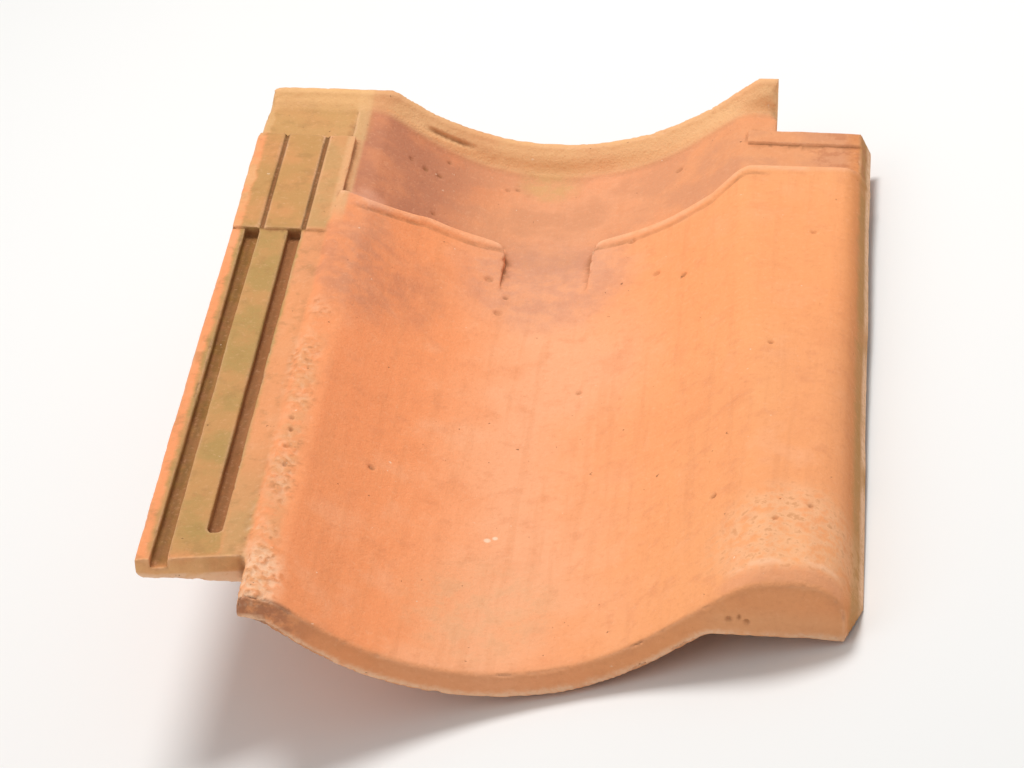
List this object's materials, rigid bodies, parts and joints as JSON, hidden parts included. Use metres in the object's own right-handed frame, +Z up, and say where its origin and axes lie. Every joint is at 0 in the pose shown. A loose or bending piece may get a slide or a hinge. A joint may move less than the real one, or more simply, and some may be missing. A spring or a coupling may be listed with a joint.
{
  "type": "clay roof tile",
  "caption": "Interlocking clay pantile with a trough, a roll along one side, a channelled side lock along the other, a head rim and a batten nib",
  "frame": {"origin": "Centre of the bounding box in plan, on the floor that the tile lies on", "axes": "Y runs from the nose (-Y) to the head (+Y), the side lock is towards -X and the roll towards +X, Z is up; the tile leans down towards +X as it lies unheld"},
  "size_m": [0.2394, 0.3442, 0.0895],
  "materials": {
    "clay": "matte fired clay, orange terracotta, weathered"
  },
  "bodies": {
    "root": {"roof_tile": "clay"}
  },
  "joints": []
}
